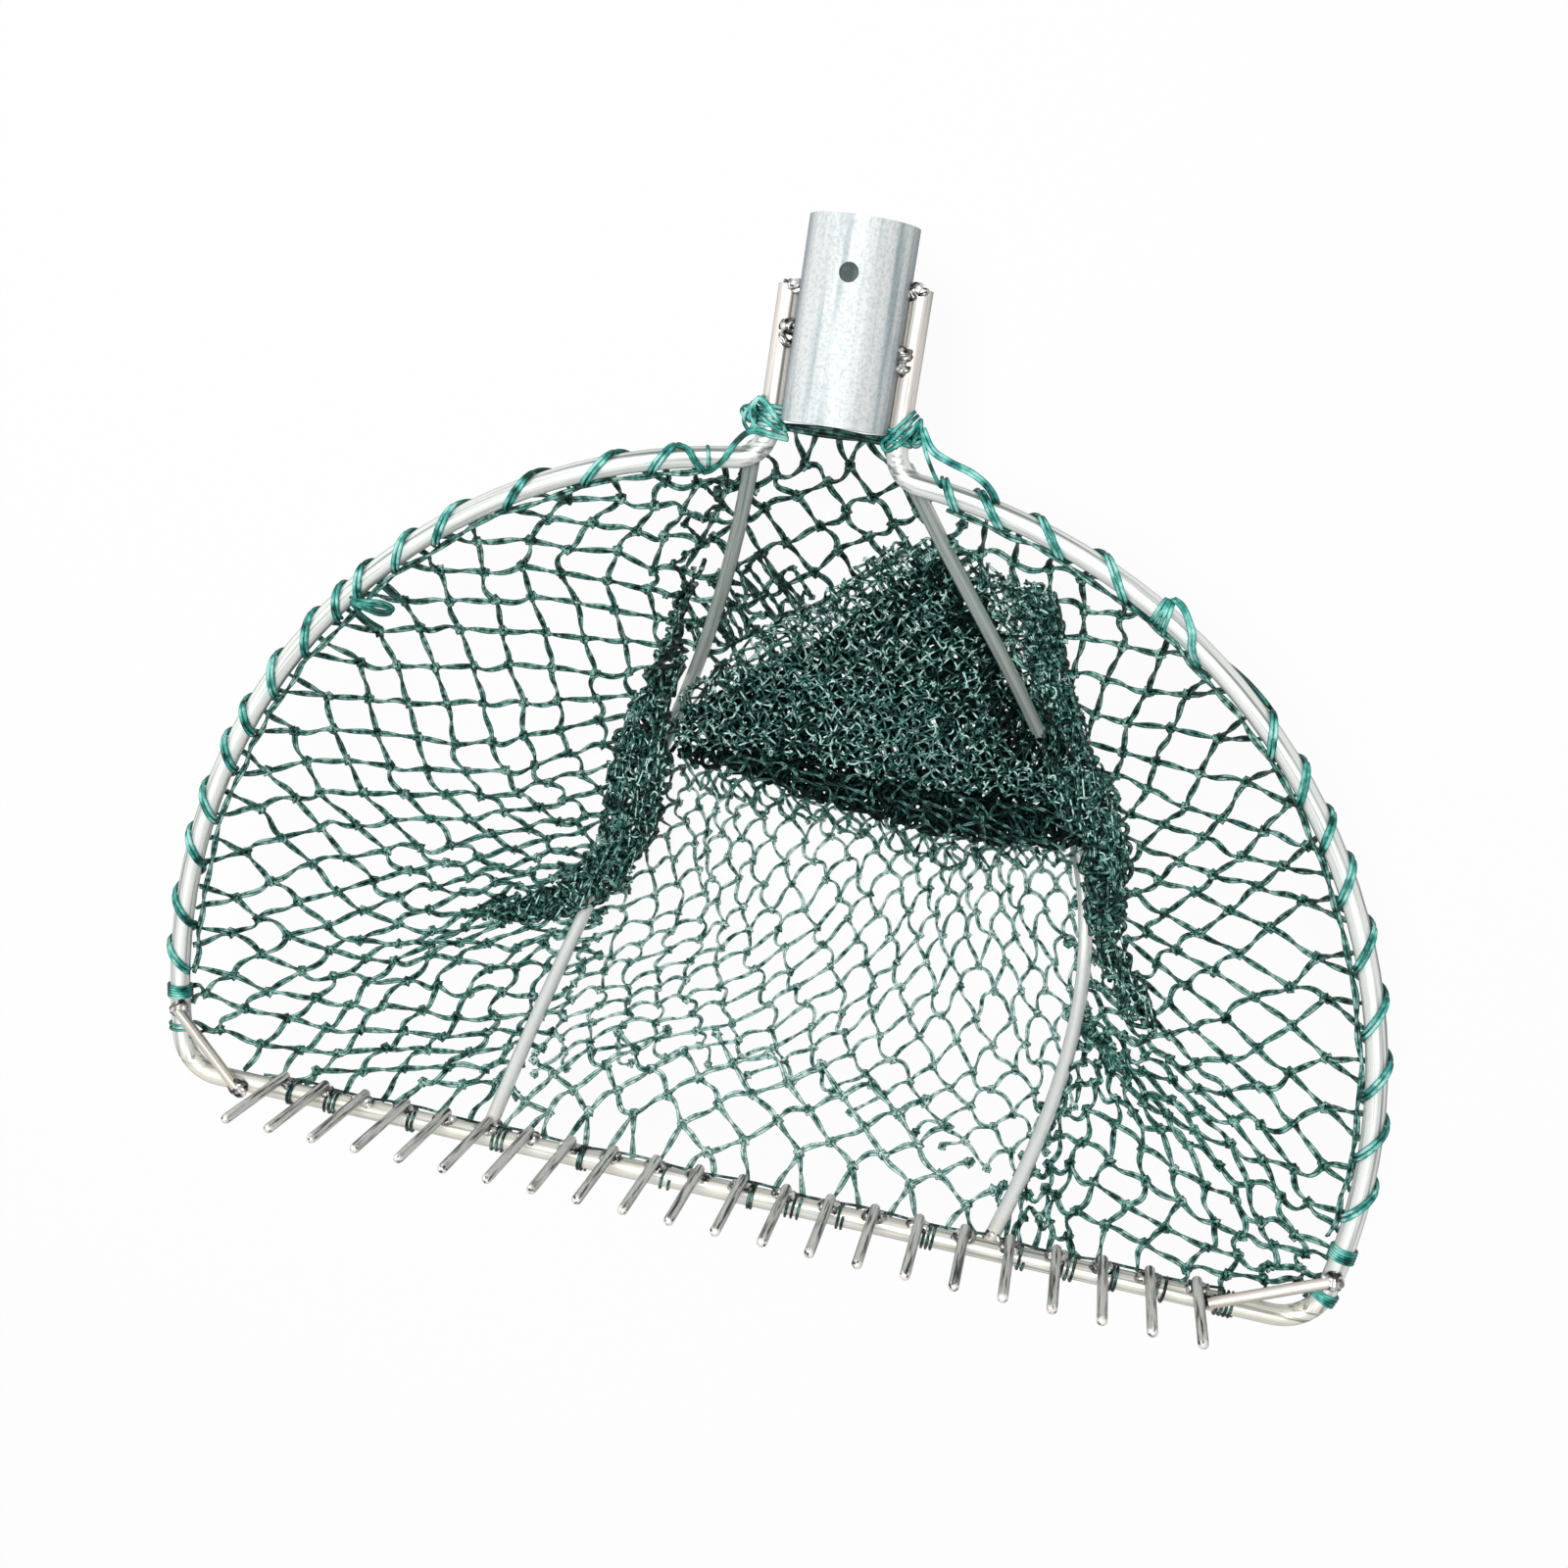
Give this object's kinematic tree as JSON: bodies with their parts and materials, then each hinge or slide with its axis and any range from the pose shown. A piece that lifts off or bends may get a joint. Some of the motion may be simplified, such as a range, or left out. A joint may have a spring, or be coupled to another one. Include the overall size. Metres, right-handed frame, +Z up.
{
  "type": "shellfish rake head with net bag",
  "caption": "D-shaped steel rod rake head with a row of straight teeth, a pole socket held between two legs, bowed ribs and a knotted net bag laced round the rod.",
  "frame": {"origin": "centre of the bounding box, on the floor the net bag lies on", "axes": "+X along the tooth bar, +Y towards the pole, +Z up out of the mouth, the way the teeth point"},
  "size_m": [0.4922, 0.3796, 0.1613],
  "materials": {
    "socket_steel": "satin tube with a faint spangle",
    "bright_rod": "bright drawn round bar",
    "tinted_rod": "satin, straw-coloured by heat",
    "weld_metal": "rippled bead",
    "net_twine": "dark green twisted twine",
    "lacing_cord": "teal twisted cord"
  },
  "bodies": {
    "root": {"socket_tube": "socket_steel", "hoop": "bright_rod", "left_rib": "bright_rod", "right_rib": "bright_rod", "left_corner_brace": "tinted_rod", "right_corner_brace": "tinted_rod", "tooth_01": "bright_rod", "tooth_02": "bright_rod", "tooth_03": "bright_rod", "tooth_04": "bright_rod", "tooth_05": "bright_rod", "tooth_06": "bright_rod", "tooth_07": "bright_rod", "tooth_08": "bright_rod", "tooth_09": "bright_rod", "tooth_10": "bright_rod", "tooth_11": "bright_rod", "tooth_12": "bright_rod", "tooth_13": "bright_rod", "tooth_14": "bright_rod", "tooth_15": "bright_rod", "tooth_16": "bright_rod", "tooth_17": "bright_rod", "tooth_18": "bright_rod", "tooth_19": "bright_rod", "tooth_20": "bright_rod", "tooth_21": "bright_rod", "tooth_22": "bright_rod", "left_leg_top_weld": "weld_metal", "left_leg_side_weld": "weld_metal", "right_leg_top_weld": "weld_metal", "right_leg_side_weld": "weld_metal", "left_rib_top_weld": "weld_metal", "left_rib_foot_weld": "weld_metal", "right_rib_top_weld": "weld_metal", "right_rib_foot_weld": "weld_metal", "left_brace_hoop_weld": "weld_metal", "left_brace_bar_weld": "weld_metal", "right_brace_hoop_weld": "weld_metal", "right_brace_bar_weld": "weld_metal", "tooth_welds": "weld_metal", "net_bag": "net_twine", "gathered_net": "net_twine", "left_lacing": "lacing_cord", "right_lacing": "lacing_cord", "bar_lacing": "lacing_cord", "left_upper_whipping": "lacing_cord", "left_lower_whipping": "lacing_cord", "right_upper_whipping": "lacing_cord", "right_lower_whipping": "lacing_cord", "left_collar_tie": "lacing_cord", "right_collar_tie": "lacing_cord", "header_cord": "net_twine"}
  },
  "joints": []
}
